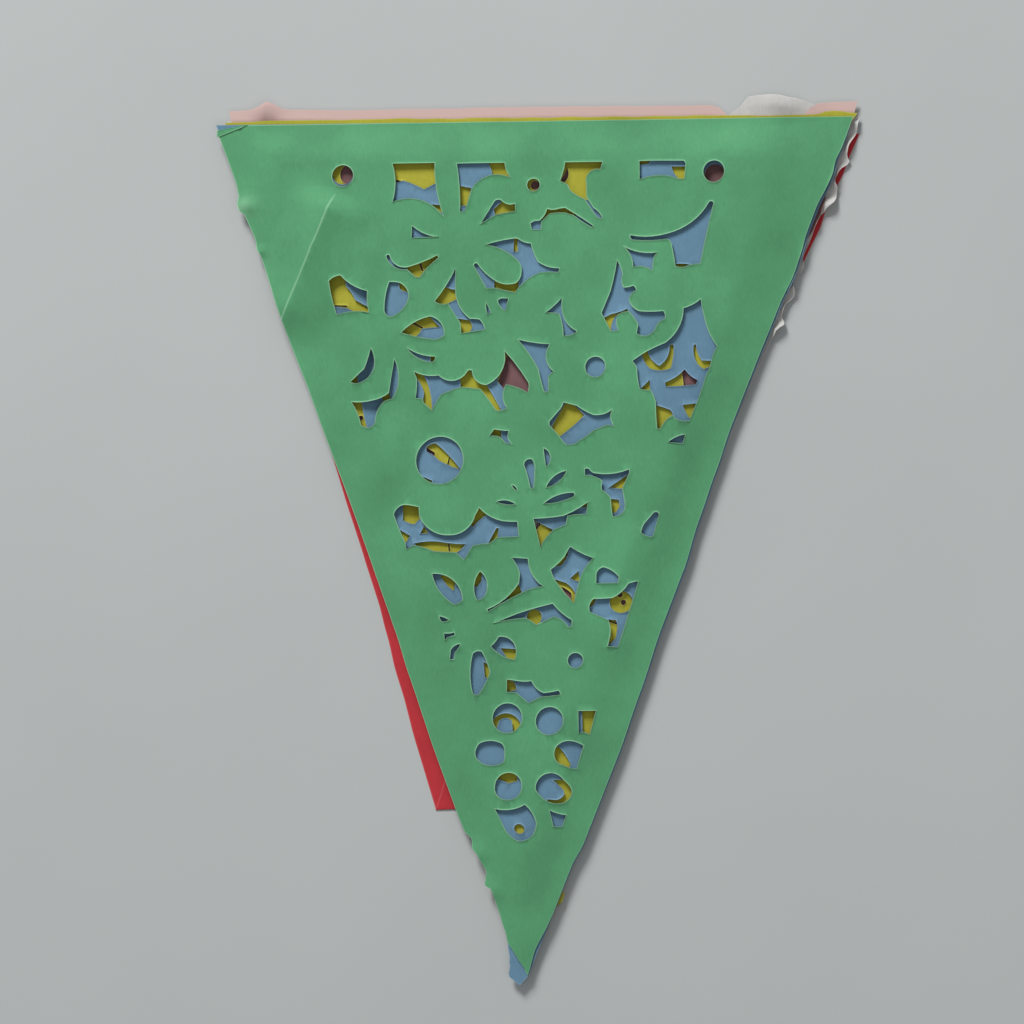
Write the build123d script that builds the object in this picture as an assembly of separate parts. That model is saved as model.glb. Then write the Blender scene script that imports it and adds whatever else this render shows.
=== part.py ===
"""Papel picado banner: a stack of triangular paper pennants with cut-out patterns.

The sheets lie flat, one on another: red at the bottom, then white, pink, yellow, blue and green on top.
X runs along the top edges, +Y points from the tips to the top edges, and Z is the height of the stack.
The origin is the middle of the stack's box, on the surface that the stack lies on.
"""

from build123d import *

import os
from math import cos, hypot, radians, sin

# Paper
sheet_width = 210.0  # the top edge
sheet_height = 280.0  # from the top edge to the tip
paper_thickness = 0.1
sheet_gap = 0.3  # air between a sheet and the next
fold_radius = 0.15  # inside of a folded edge

# String holes, two in each sheet. They lie between the windows of the pattern, so their places are drawn
# with it, and are stretched with it.
string_hole_radius = 3.5
string_hole_spacing = 121.8  # between the centres
string_hole_drop = 17.5  # from the top edge to the centres

# The folded tip of the red sheet, and the folded corner of the green one
red_tip_fold = 57.5  # from the tip to the fold, along the middle of the sheet
red_fold_slant = 2.6  # degrees that the fold turns from the top edge's direction
green_corner_along_top = 10.7
green_corner_down_side = 2.0

# Where each sheet lies: the middle of its top edge in x and y, and its turn, clockwise in degrees
green_place = (0.0, 0.6, -0.15)
blue_place = (0.7, 0.5, 0.0)
yellow_place = (1.0, 1.6, 0.0)
pink_place = (2.2, 5.0, 0.0)
white_place = (1.0, 1.0, 0.4)
red_place = (3.0, -0.2, 2.6)

# How far each pair of string holes was punched off the middle: in x, in y, the right hole's extra drop,
# and how much closer together the pair is
green_punch = (-1.6, 0.2, 0.3, 0.0)
blue_punch = (-2.05, 0.8, 1.7, -0.2)
yellow_punch = (-1.0, -0.6, 1.1, 2.2)
pink_punch = (0.0, 2.8, 0.0, 0.0)
white_punch = (0.4, -0.3, 0.2, 0.0)
red_punch = (-0.5, 0.2, 0.0, 0.0)

# How far each cut pattern sits off the middle of its sheet
green_shift = (0.0, -0.6)
blue_shift = (-0.7, -0.5)
yellow_shift = (-1.0, -1.6)

# The patterns are drawn for a sheet of this size, and stretched to the real one
drawn_width = 210.0
drawn_height = 280.0

# A cut is a closed outline, clockwise from above. Each point is x, y and bow: how far the edge to the next
# point swells out of the cut, or into it where the bow is negative. A bow of 0 is a straight edge.
green_cuts = {
    "outer_left_window": [
        (-46.2, -12.9, 0), (-32.3, -12.9, -0.9), (-29.0, -30.6, -3.2), (-46.0, -25.4, -1.0),
    ],
    "inner_left_window": [
        (-25.0, -13.2, 0), (-9.3, -13.2, -0.4), (-7.4, -18.0, -2.4), (-19.9, -21.2, 0),
        (-22.3, -28.8, 0), (-23.8, -28.8, -0.4),
    ],
    "inner_right_window": [
        (10.4, -13.2, 0), (22.6, -13.2, 0), (22.0, -15.7, -1.8), (17.4, -20.0, 0), (17.6, -24.7, 0),
        (19.9, -28.2, 0.4), (22.9, -31.6, 0.2), (20.9, -30.9, 0), (19.3, -28.6, 0), (17.0, -25.2, 0.2),
        (13.0, -23.0, 0.3), (11.5, -20.6, 0), (8.8, -19.2, -0.2),
    ],
    "outer_right_window": [
        (34.8, -13.2, 0), (49.0, -13.3, 0.3), (49.9, -14.6, 0), (49.6, -19.2, 0), (47.8, -19.2, -0.2),
        (43.0, -18.0, -0.4), (35.0, -19.2, 0),
    ],
    "spark": [(-39.4, -33.2, -0.8), (-30.8, -37.0, 0), (-39.5, -37.2, 0)],
    "smile": [
        (-47.7, -43.1, 0.5), (-46.6, -43.0, -1.4), (-40.5, -46.7, -0.3), (-30.9, -42.9, 0), (-30.6, -43.7, 0),
        (-34.2, -46.9, 0), (-36.6, -50.0, 0), (-37.8, -50.0, 0), (-40.8, -47.4, 1.5),
    ],
    "small_flag": [
        (-17.0, -33.0, 0), (-12.5, -25.8, 0.4), (-10.4, -25.3, -0.2), (-8.0, -26.7, -0.2), (-5.8, -26.4, 0),
        (-5.6, -28.9, 0), (-12.0, -30.0, 0),
    ],
    "brow": [
        (-0.7, -32.9, 0.1), (0.8, -32.1, 0), (2.3, -32.0, -0.4), (4.7, -28.2, -0.2), (7.5, -28.5, 0.1),
        (10.6, -28.0, 0.1), (19.9, -34.0, 0), (19.6, -34.6, 0.1), (13.3, -30.4, 0.1), (10.8, -29.6, -0.2),
        (5.5, -29.8, 0), (2.8, -32.4, 0), (2.7, -35.0, 0), (-0.2, -34.9, 0),
    ],
    "petal_surround": [
        (-15.1, -39.7, 0.2), (-6.0, -37.8, 0.2), (-4.2, -38.2, -0.3), (-0.5, -39.4, -0.2),
        (1.9, -45.4, -0.6), (8.9, -47.6, 0.2), (8.5, -48.9, -0.2), (2.5, -49.0, -0.8), (-5.3, -55.4, 0),
        (-12.0, -53.8, 0), (-14.6, -53.9, 0), (-19.0, -46.3, 0.2), (-18.0, -45.6, -0.5),
        (-11.5, -51.7, -0.7), (-5.0, -52.3, -0.4), (-3.3, -49.0, -0.7), (-5.2, -44.3, -0.8),
    ],
    "banner_end": [
        (-66.0, -51.0, 0.4), (-62.4, -49.2, -0.8), (-53.5, -54.5, -0.3), (-52.8, -61.5, -0.7),
        (-63.3, -61.9, 0.3),
    ],
    "bean": [
        (-46.6, -51.4, 0.1), (-43.3, -51.7, 0.9), (-40.1, -56.5, 1.2), (-46.0, -62.8, 0.5),
        (-47.9, -60.5, 0.4),
    ],
    "arrow": [
        (-24.9, -47.2, 0), (-24.9, -54.0, -1.3), (-20.0, -63.7, 0.1), (-16.8, -64.0, 0.3),
        (-15.0, -67.3, 0), (-22.7, -68.4, 0), (-23.0, -65.0, 0), (-27.2, -58.6, 0.6), (-31.5, -57.9, -0.4),
    ],
    "short_slit": [(-14.7, -58.3, 0), (-13.0, -61.8, 0), (-14.2, -62.2, 0.2)],
    "pebble": [(-10.8, -58.0, 0.2), (-9.4, -57.2, 0), (-7.4, -57.3, 0), (-8.3, -61.3, 0.4)],
    "hourglass": [
        (10.1, -57.2, -0.5), (10.9, -64.0, -0.5), (14.9, -68.0, 0.2), (14.4, -68.9, 0.2),
        (10.8, -69.6, -0.4), (9.3, -62.4, -0.2), (4.8, -62.1, -0.2),
    ],
    "sail": [
        (32.3, -37.3, -0.8), (44.5, -37.0, -1.7), (57.8, -27.0, 0.5), (59.3, -27.3, -0.2),
        (55.3, -46.8, 0), (51.8, -47.2, 0.6), (47.3, -47.6, -0.1), (45.8, -40.0, -0.4),
        (43.8, -38.8, 0.4), (33.0, -38.8, 0.3),
    ],
    "under_sail": [
        (30.1, -40.9, -1.0), (41.4, -43.1, -0.2), (40.1, -45.0, -0.1), (39.8, -49.0, -0.8),
        (33.4, -47.7, -0.2), (32.8, -44.5, -0.3),
    ],
    "butterfly": [
        (28.0, -45.3, 0.2), (29.9, -50.0, -0.5), (30.3, -54.3, -0.2), (33.6, -53.8, 0.2),
        (34.6, -55.4, -0.5), (32.2, -58.2, -0.8), (36.0, -62.2, -0.2), (43.6, -62.2, 0.3),
        (44.2, -64.7, -0.6), (41.0, -68.0, 0.4), (38.0, -70.2, 0.2), (35.0, -69.4, 0), (35.5, -66.3, -0.2),
        (32.3, -62.1, -0.3), (28.5, -63.2, -0.5), (28.8, -68.0, 0.2), (26.3, -68.2, 0), (23.2, -62.4, 0),
        (26.0, -55.5, -0.2),
    ],
    "eye": [(-42.3, -68.0, 0.8), (-33.0, -62.8, 1.5), (-28.3, -69.0, 0.3), (-31.5, -70.3, 0.3)],
    "hook": [
        (-51.9, -73.1, 0.5), (-50.7, -79.0, 1.3), (-56.3, -84.4, 0.2), (-58.5, -83.8, 0),
        (-53.9, -79.8, -0.2),
    ],
    "long_hook": [
        (-44.4, -76.4, 0.3), (-43.0, -82.0, 0.7), (-44.9, -89.6, -0.1), (-47.2, -90.3, -0.8),
        (-50.0, -97.0, 0.5), (-52.5, -98.9, 0), (-54.8, -98.0, -0.5), (-58.2, -90.3, -0.4),
        (-50.5, -90.0, -0.3), (-45.9, -87.6, 0),
    ],
    "lash": [(-40.4, -72.9, -0.8), (-31.0, -75.9, 0.3), (-32.0, -77.7, 1.1)],
    "scallops": [
        (-37.9, -80.7, -0.7), (-29.8, -82.0, -2.5), (-20.3, -80.6, 0.2), (-18.9, -80.6, -1.4),
        (-14.0, -85.3, -2.4), (-8.4, -74.2, 0.3), (-0.2, -84.9, 0.2), (-0.4, -88.0, -0.4),
        (-7.6, -85.3, -1.2), (-7.2, -93.0, 0.1), (-9.8, -93.8, 0), (-10.8, -93.5, -0.2),
        (-16.0, -86.7, -0.1), (-22.3, -85.9, -0.2), (-29.0, -88.3, 0), (-31.8, -93.3, 0),
        (-34.6, -90.8, 0), (-34.8, -89.6, 0), (-37.2, -89.3, -0.2), (-36.9, -83.0, 0),
    ],
    "wing": [
        (-4.0, -70.7, -0.3), (6.3, -72.3, -0.2), (5.2, -76.0, -0.7), (7.8, -81.2, -0.3), (6.1, -83.2, 0),
        (6.3, -87.3, 0.4), (4.9, -87.5, 0.1), (3.0, -80.5, -0.4),
    ],
    "perch": [
        (11.2, -91.2, 0), (15.5, -92.3, -0.2), (21.0, -95.4, -0.1), (24.0, -95.3, -0.2),
        (27.2, -93.8, -0.1), (26.6, -96.0, -0.2), (27.8, -99.2, 0), (25.8, -98.6, 0), (21.0, -100.4, 0.2),
        (16.5, -103.6, 0.6), (12.2, -104.8, 0.1), (10.0, -102.0, 0), (7.0, -98.8, 0.2), (7.0, -97.2, 0),
        (9.7, -94.0, -0.2),
    ],
    "crumb": [
        (-12.7, -102.0, 0), (-11.2, -99.8, -0.1), (-6.4, -100.4, -0.1), (-6.7, -102.6, -0.2),
        (-5.2, -104.9, 0), (-7.4, -104.2, -0.1), (-9.5, -102.2, -0.2),
    ],
    "bell": [
        (55.8, -58.4, -0.1), (56.9, -63.5, -0.7), (61.9, -73.8, -0.2), (60.2, -78.0, 0.3),
        (58.4, -83.3, 0.2), (55.2, -93.0, 0), (53.2, -97.8, 0.4), (48.3, -97.0, 0), (47.4, -96.0, -0.6),
        (43.2, -100.4, 0), (42.2, -100.2, 0.1), (41.6, -91.5, -0.2), (39.9, -87.7, 0.2),
        (36.3, -87.3, 0.2), (35.3, -80.5, -0.2), (33.7, -78.3, 0.1), (38.5, -75.2, 0.1),
        (44.5, -72.5, -1.6), (50.2, -61.3, -0.4),
    ],
    "under_bell": [(46.0, -104.7, 0.5), (52.0, -102.2, 0), (51.1, -105.2, 0)],
    "cradle": [
        (-43.8, -127.0, 0.8), (-40.0, -124.0, 0.1), (-35.4, -124.8, 0), (-35.1, -127.8, -1.9),
        (-25.0, -134.0, -1.9), (-16.8, -127.5, -0.1), (-15.6, -125.2, -0.7), (-8.0, -129.6, -0.1),
        (-3.0, -129.9, 0), (-2.4, -134.7, 0), (-9.5, -134.9, 0), (-12.0, -136.8, -0.2),
        (-17.5, -137.5, 0), (-20.2, -142.0, 0), (-23.0, -139.6, 0), (-30.0, -139.2, -0.3),
        (-37.0, -137.2, 0), (-39.3, -138.4, 0), (-39.8, -136.0, 0.2),
    ],
    "bird_tail": [
        (2.3, -129.0, -0.2), (12.0, -128.0, -0.3), (19.8, -123.5, 0), (19.2, -127.6, -0.3),
        (13.2, -128.1, 0), (12.7, -131.0, 0), (9.0, -132.4, -0.2), (5.3, -136.8, 0), (4.8, -138.6, 0),
    ],
    "fish": [
        (18.5, -112.8, 0.2), (20.0, -113.0, -0.3), (22.0, -114.3, -0.8), (33.1, -113.3, 0.1),
        (33.2, -114.5, 0), (31.0, -119.5, 0), (31.9, -124.0, 0.2), (31.6, -126.8, 0.5), (28.0, -128.4, 0.1),
        (27.3, -122.5, -0.3), (24.3, -119.8, 0.2), (24.4, -116.8, -0.5), (18.6, -114.8, 0),
    ],
    "thorn": [
        (41.5, -127.4, 0.2), (42.8, -127.3, 0.2), (43.2, -128.2, 0), (41.5, -134.0, 0.3),
        (40.5, -135.2, 0.2), (37.5, -133.8, 0.2), (38.6, -130.8, 0),
    ],
    "stem": [
        (-4.6, -141.5, 0), (0.7, -141.9, -1.3), (5.8, -150.9, -0.2), (0.3, -152.2, -0.3),
        (-12.0, -158.8, 0.2), (-12.2, -158.1, -1.0), (-2.1, -149.8, 0), (-1.8, -146.5, -0.3),
    ],
    "bird": [
        (14.2, -138.0, -0.3), (21.9, -141.8, -0.8), (17.2, -150.0, -0.1), (15.9, -156.3, 0.2),
        (9.7, -149.0, 0.1), (8.2, -145.5, -0.2), (12.5, -141.3, 0),
    ],
    "dome": [(23.0, -147.0, 0.5), (25.3, -144.8, 0.5), (30.4, -148.0, 0), (30.2, -150.0, 0), (23.0, -150.0, 0)],
    "boot": [
        (36.4, -149.4, 0.1), (33.2, -160.0, 0.1), (29.9, -170.6, 0), (27.0, -170.4, 0),
        (27.8, -167.0, -0.4), (27.2, -161.9, 0), (21.2, -159.3, 0.8), (22.3, -155.0, -0.1),
        (28.5, -154.8, -0.5), (33.5, -150.2, 0.1),
    ],
    "moustache": [
        (-10.3, -162.6, 0), (-2.5, -159.6, 0.1), (9.0, -156.5, -0.4), (15.2, -161.8, 0.1), (15.1, -164.0, 0),
        (14.2, -164.0, -0.6), (9.5, -160.7, 0), (3.8, -163.3, -0.2), (0.0, -161.0, -0.3),
    ],
    "leaf_upper_left": [(-30.5, -146.5, 2.8), (-20.5, -155.0, 0.3), (-23.2, -156.4, 1.3)],
    "leaf_upper": [(-14.9, -145.8, 1.6), (-13.4, -154.0, 0.3), (-15.8, -155.0, 1.4)],
    "leaf_lower": [
        (-16.9, -172.4, 0.5), (-14.0, -171.8, 0.3), (-11.3, -178.5, 0.3), (-15.0, -185.6, 0.3),
        (-16.8, -185.0, 0.8),
    ],
    "leaf_lower_right": [(-11.0, -170.1, -0.2), (-8.5, -167.0, 1.8), (-2.8, -172.0, 0.1), (-3.3, -174.4, 0.8)],
    "sepal_top": [(-28.0, -160.2, 0.2), (-24.8, -161.5, 0.1), (-27.0, -162.0, 0.2)],
    "sepal_middle": [
        (-26.4, -165.7, -0.2), (-23.0, -165.5, 0), (-22.9, -166.4, 0), (-25.3, -167.0, 0), (-26.2, -168.1, 0),
    ],
    "sepal_bottom": [
        (-21.0, -169.2, 0.2), (-22.8, -171.8, 0), (-23.0, -174.0, 0), (-24.4, -174.2, 0), (-24.2, -171.2, 0.5),
    ],
    "spoon": [
        (-5.7, -180.7, 0), (-2.0, -181.3, -0.2), (2.4, -181.4, -0.6), (6.5, -185.3, -0.1),
        (11.2, -184.6, 0.3), (11.8, -186.0, 0), (5.3, -186.6, 0), (1.5, -188.4, 0), (-2.5, -185.0, 0),
        (-5.7, -184.8, 0),
    ],
    "side_notch": [
        (17.8, -191.1, 0), (23.1, -191.0, 0), (21.1, -198.6, 0), (19.4, -197.8, 0), (18.0, -198.3, 0),
    ],
    "fan_far_left": [(-10.0, -123.4, 0.9), (-3.6, -124.3, 0.4)],
    "fan_left": [(-5.0, -117.9, 0.4), (-3.2, -119.9, 0.3)],
    "fan_middle": [
        (-1.1, -111.5, 0.9), (1.5, -109.8, 0.4), (2.3, -114.0, 0.1), (2.1, -118.7, 0.3), (1.1, -118.9, -0.2),
    ],
    "fan_upper_right": [(5.1, -106.1, 1.7), (6.1, -112.1, 0.1)],
    "fan_right": [(6.2, -118.9, 1.2), (12.6, -113.4, 1.1)],
    "fan_far_right": [(5.4, -124.2, 1.0), (14.9, -120.5, 0.5), (14.6, -122.0, 0.5)],
    "low_oval": [
        (-13.5, -200.9, 0.5), (-8.0, -201.0, 0.5), (-6.2, -203.5, 0.2), (-6.4, -207.3, 0.4),
        (-10.8, -208.4, 0.6), (-15.3, -206.0, 0.5), (-15.2, -202.5, 0.3),
    ],
    "low_square": [
        (11.0, -202.5, 0.6), (15.5, -200.8, 0.3), (19.3, -202.2, 0), (17.2, -209.7, 0.2),
        (13.0, -208.5, 0.5), (10.4, -206.0, 0.4),
    ],
    "bowl": [
        (-9.0, -222.4, -1.0), (0.0, -221.2, 0.4), (3.0, -227.0, 1.6), (-2.2, -233.0, 0.6), (-5.6, -230.3, 0),
    ],
    "cup": [(6.9, -223.0, -0.3), (11.8, -224.5, 0), (10.5, -228.3, 0), (8.0, -228.3, 0)],
}
# Round cuts: x, y and radius
green_rounds = [
    (0.1, -20.4, 2.05), (21.4, -79.8, 3.3), (-28.9, -109.6, 7.7), (16.7, -174.9, 2.45),
    (-5.4, -193.2, 4.8), (8.5, -194.3, 4.5), (-4.7, -215.2, 4.4), (9.2, -216.0, 4.9),
]

blue_cuts = {
    "outer_left_window": [
        (-47.8, -11.2, 0), (-30.8, -11.2, 0), (-31.6, -19.6, 0), (-35.6, -21.6, -0.2), (-42.5, -18.6, 0),
        (-47.2, -20.2, 0),
    ],
    "window_tip": [(-33.2, -26.4, 0), (-30.0, -26.7, 0), (-29.6, -29.0, 0), (-31.3, -29.2, 0)],
    "inner_left_window": [
        (-15.2, -11.5, 0), (-5.0, -11.5, 0), (-5.5, -19.0, 0), (-12.8, -19.2, 0), (-13.4, -16.0, 0),
    ],
    "left_foot": [(-25.2, -20.2, 0), (-20.0, -21.3, 0), (-21.5, -27.0, 0), (-25.0, -27.0, 0)],
    "inner_right_window": [
        (8.0, -11.3, 0), (24.0, -11.3, 0), (23.5, -17.0, 0), (19.0, -20.0, 0), (18.4, -25.6, 0),
        (15.8, -25.4, 0), (12.7, -23.9, 0.2), (10.8, -21.3, 0), (7.4, -20.3, 0),
    ],
    "outer_right_window": [
        (45.3, -15.0, 0), (51.0, -15.0, 0), (51.0, -20.5, 0), (48.3, -20.5, -0.2), (46.2, -17.3, 0),
    ],
    "window_corner": [(34.5, -12.0, 0), (39.0, -12.0, 0), (38.0, -14.1, 0), (34.5, -14.5, 0)],
    "left_sail": [(-41.0, -46.0, -0.4), (-30.0, -42.0, 0), (-33.0, -51.5, 0), (-40.0, -51.0, 0)],
    "arrow_foot": [
        (-28.2, -53.1, -0.3), (-24.0, -54.3, 0), (-24.0, -57.3, 0), (-28.5, -59.5, 0), (-33.5, -59.5, 0),
    ],
    "arrow_end": [
        (-24.0, -63.6, 0), (-19.8, -64.2, 0), (-18.8, -66.2, 0.1), (-20.3, -69.4, 0), (-24.0, -69.5, 0),
    ],
    "banner_end": [
        (-68.0, -49.0, 0), (-63.0, -47.5, 0), (-61.2, -48.5, 0), (-60.5, -53.0, 0.3), (-57.5, -57.3, 0),
        (-51.5, -60.5, 0), (-51.5, -62.8, 0), (-57.0, -61.5, 0), (-60.0, -60.1, 0), (-67.0, -59.0, 0),
    ],
    "bean": [
        (-43.2, -50.5, 0), (-39.0, -52.0, 0), (-39.3, -55.2, 0), (-41.5, -54.7, 0.2), (-43.1, -53.5, 0),
    ],
    "small_flag": [
        (-12.7, -28.3, 0), (-9.3, -25.2, 0), (-4.0, -25.0, 0), (-4.0, -30.5, 0), (-11.8, -31.0, 0),
    ],
    "brow": [
        (2.8, -27.0, 0), (13.5, -27.0, 0), (14.6, -30.6, 0), (4.0, -31.9, 0), (2.8, -31.9, 0),
    ],
    "slot": [(-5.9, -36.5, 0), (-4.5, -36.5, 0), (-4.5, -42.2, 0), (-5.9, -42.2, 0)],
    "petal_foot": [(-12.0, -50.5, 0.4), (-4.0, -50.5, 0), (-3.8, -56.5, 0), (-12.0, -56.0, 0)],
    "sail_foot": [(47.0, -46.8, 0.2), (52.3, -47.0, 0), (52.0, -49.3, 0), (47.0, -49.3, 0)],
    "butterfly_leg": [
        (24.0, -64.0, 0), (26.5, -62.8, -0.2), (32.0, -61.1, 0), (32.2, -61.9, 0.2), (28.0, -63.5, -0.3),
        (26.6, -67.5, 0), (27.0, -69.5, 0), (24.5, -67.0, 0),
    ],
    "eye": [
        (-43.5, -68.5, 0.5), (-38.0, -62.8, 0.3), (-32.9, -62.9, 0), (-29.5, -66.4, 0), (-35.3, -66.9, 0.4),
        (-37.9, -69.8, 0), (-41.0, -70.5, 0),
    ],
    "hook": [(-60.0, -82.0, 0), (-56.2, -82.0, 0), (-56.2, -85.5, 0), (-60.0, -85.5, 0)],
    "long_hook": [
        (-59.5, -89.5, 0), (-54.9, -89.5, -0.3), (-52.6, -99.8, 0), (-56.5, -99.8, 0),
    ],
    "hook_bend": [(-48.0, -88.9, 0), (-45.6, -87.0, 0), (-45.0, -91.5, 0), (-47.5, -91.5, 0)],
    "lash": [(-32.8, -75.0, 0), (-30.0, -75.0, 0), (-30.0, -78.5, 0), (-32.3, -78.3, -0.2)],
    "left_crescent": [
        (-38.5, -80.5, 0.8), (-33.6, -83.5, 0.7), (-31.5, -94.5, 0), (-33.0, -94.0, 0),
        (-34.9, -91.0, -0.2), (-34.3, -87.5, -0.7), (-38.5, -81.8, 0),
    ],
    "scallop_foot": [
        (-22.6, -82.0, 0), (-20.0, -79.0, 0), (-17.5, -83.5, 0), (-13.9, -85.0, 0), (-8.9, -93.3, 0),
        (-9.5, -95.0, 0), (-12.5, -94.5, -0.4), (-15.5, -88.5, 0), (-22.3, -87.3, 0),
    ],
    "pear": [
        (-10.0, -74.3, 0), (-5.5, -75.5, 0), (1.5, -82.5, 0), (1.2, -90.5, 0), (-8.2, -86.6, 0),
        (-10.3, -84.3, -0.1), (-9.8, -79.5, 0),
    ],
    "bell_left": [
        (46.0, -73.0, 0), (47.4, -73.0, 0.3), (46.6, -80.7, 0.6), (40.0, -80.8, 0.6), (37.0, -76.0, 0),
        (38.9, -75.0, -0.7), (42.8, -79.8, -1.1),
    ],
    "bell_right": [
        (54.0, -73.0, 0), (54.8, -73.0, -0.5), (57.0, -78.2, 0), (62.5, -78.2, 0), (62.5, -79.0, 0),
        (57.8, -81.0, 0.5), (54.5, -77.5, 0.3),
    ],
    "bell_bow": [
        (44.7, -85.2, -0.5), (51.2, -81.0, 0), (52.5, -82.5, -0.2), (55.8, -84.5, 0), (55.3, -86.0, 0.1),
        (45.0, -86.6, 0),
    ],
    "bell_foot_left": [
        (40.5, -92.2, 0.1), (46.5, -94.0, 0.2), (47.8, -96.3, 0), (44.0, -102.0, 0), (40.5, -102.0, 0),
    ],
    "bell_foot_right": [
        (50.8, -92.5, 0), (57.0, -91.8, 0), (55.0, -98.0, 0), (52.8, -96.2, 0.1),
    ],
    "bell_edge": [(36.5, -87.5, 0), (39.8, -84.2, 0), (40.0, -88.7, 0), (37.0, -89.0, 0)],
    "perch": [
        (12.2, -91.0, 0), (14.0, -91.0, 0), (18.4, -95.4, 0.2), (10.4, -102.3, 0), (8.8, -101.5, 0),
        (7.8, -99.0, 0),
    ],
    "crumb": [
        (-12.0, -100.5, 0), (-10.5, -99.0, 0), (-8.7, -100.5, 0), (-8.3, -103.5, 0), (-11.0, -103.0, 0),
    ],
    "round_leaf": [
        (-33.2, -105.5, 0.4), (-30.0, -104.1, 0.4), (-21.7, -112.8, 0.2), (-28.8, -109.8, -0.2),
        (-33.0, -106.8, 0),
    ],
    "round_foot": [(-35.5, -114.3, 0), (-31.0, -116.2, 0), (-31.0, -118.0, 0), (-35.5, -117.0, 0)],
    "cradle_top": [
        (-40.6, -122.8, 0), (-34.0, -123.0, 0), (-34.6, -128.5, 0), (-36.5, -130.4, 0.2), (-40.5, -129.0, 0),
    ],
    "cradle_dot": [(-33.3, -131.0, 0), (-31.8, -133.3, 0), (-34.6, -133.5, 0)],
    "cradle_end": [(-42.5, -131.5, 0), (-37.9, -134.0, 0), (-39.6, -136.7, 0), (-41.0, -138.0, 0)],
    "cradle_band": [
        (-36.7, -136.6, 0.3), (-29.0, -136.0, -0.2), (-19.3, -137.0, 0), (-21.0, -138.8, 0),
        (-23.5, -140.5, 0), (-32.0, -140.5, 0),
    ],
    "cradle_peak": [
        (-18.6, -130.0, 0), (-17.0, -124.0, 0), (-14.0, -125.0, 0), (-12.8, -127.6, -0.2), (-17.3, -131.5, 0),
    ],
    "cradle_spike": [
        (-12.7, -138.0, 0), (-10.4, -133.5, 0), (-9.6, -132.0, 0.2), (-8.7, -132.0, 0), (-9.5, -138.0, 0),
    ],
    "bird_tail": [
        (1.0, -128.5, 0), (9.0, -132.5, 0), (8.0, -135.5, 0), (5.0, -140.0, 0), (2.0, -136.0, 0),
    ],
    "tail_end": [(17.0, -123.0, 0), (21.0, -122.5, 0), (20.5, -125.0, 0), (17.5, -125.3, 0)],
    "fish_belly": [(26.8, -119.0, 0), (33.5, -114.5, 0), (32.5, -119.5, 0), (29.5, -119.3, 0)],
    "fish_tail": [
        (26.5, -122.4, 0), (30.2, -122.9, 0), (30.6, -125.0, 0.2), (29.0, -127.2, 0), (26.5, -127.3, 0),
    ],
    "stem": [(-7.0, -154.0, 0), (-2.0, -149.8, 0), (-0.7, -152.7, 0), (-3.5, -156.0, 0)],
    "stem_top": [(-5.5, -140.5, 0), (-4.0, -140.5, 0), (-3.3, -143.5, 0), (-5.0, -144.0, 0)],
    "bird_head": [
        (9.8, -144.5, 0), (11.0, -141.0, 0), (13.2, -138.5, 0), (14.2, -139.6, 0), (13.4, -142.0, 0),
        (12.0, -144.0, 0),
    ],
    "bird_foot": [
        (8.5, -149.5, 0), (10.2, -148.6, 0), (13.5, -149.7, 0.3), (16.6, -153.0, 0), (16.5, -158.0, 0),
        (13.0, -157.0, 0), (9.5, -152.0, 0),
    ],
    "bird_wing": [(14.8, -148.2, 0), (17.5, -145.8, 0), (18.0, -149.3, 0), (16.0, -148.9, 0)],
    "boot_toe": [
        (20.0, -157.5, 0), (21.5, -154.0, 0), (23.8, -154.2, 0), (22.9, -156.5, 0.1), (21.3, -157.8, 0),
    ],
    "boot_heel": [
        (26.0, -161.5, 0), (30.0, -161.8, 0.1), (30.5, -164.0, 0), (30.0, -167.5, 0.1), (28.4, -169.5, 0),
        (26.0, -170.0, 0),
    ],
    "upper_leaf_left": [
        (-27.7, -147.4, 0), (-25.3, -145.8, 0), (-22.5, -149.8, 0), (-23.1, -152.2, 0), (-25.2, -150.4, 0),
    ],
    "upper_leaf": [
        (-17.5, -150.2, 0), (-16.0, -144.5, 0), (-14.0, -146.0, 0), (-14.0, -149.0, 0), (-15.5, -151.0, 0),
    ],
    "lower_leaf_right": [(-7.6, -170.6, 0), (-1.5, -171.0, 0), (-2.0, -175.5, 0), (-4.5, -175.0, 0)],
    "lower_leaf": [(-13.0, -175.0, 0), (-11.0, -176.0, 0), (-11.0, -180.5, 0), (-12.5, -180.0, 0)],
    "spoon": [(-6.5, -180.0, 0), (-3.0, -181.5, 0.2), (-2.0, -184.0, 0), (-6.5, -185.5, 0)],
    "side_notch": [(19.5, -190.5, 0), (24.0, -190.0, 0), (22.0, -199.5, 0), (19.8, -199.0, 0)],
    "low_bead": [
        (-8.5, -212.5, 0), (-6.0, -209.5, 0.4), (-2.5, -210.0, 0.2), (-1.0, -213.5, 0), (-4.0, -214.3, 0),
    ],
    "low_arch": [
        (-10.4, -195.8, 4.2), (-0.4, -195.8, 0), (-0.2, -198.6, 0), (-3.0, -198.6, 0), (-3.4, -194.2, -1.0),
        (-7.6, -194.2, 0), (-8.6, -197.4, 0), (-10.4, -197.4, 0),
    ],
    "low_corner": [
        (9.6, -203.2, 0), (12.3, -202.6, 0.3), (16.2, -208.4, 0), (15.0, -210.6, 0), (9.6, -208.0, 0),
    ],
    "low_crescent": [
        (10.2, -213.3, 0), (15.2, -213.0, 0), (15.2, -222.0, 0), (7.0, -222.0, 0), (7.2, -219.5, 0),
        (9.8, -219.7, -0.3), (12.4, -217.8, -0.3), (12.2, -215.2, -0.2),
    ],
}
blue_rounds = [
    (0.2, -20.5, 2.4), (31.5, -156.0, 3.6), (3.5, -160.8, 2.5), (-2.2, -229.0, 1.6),
]

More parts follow.
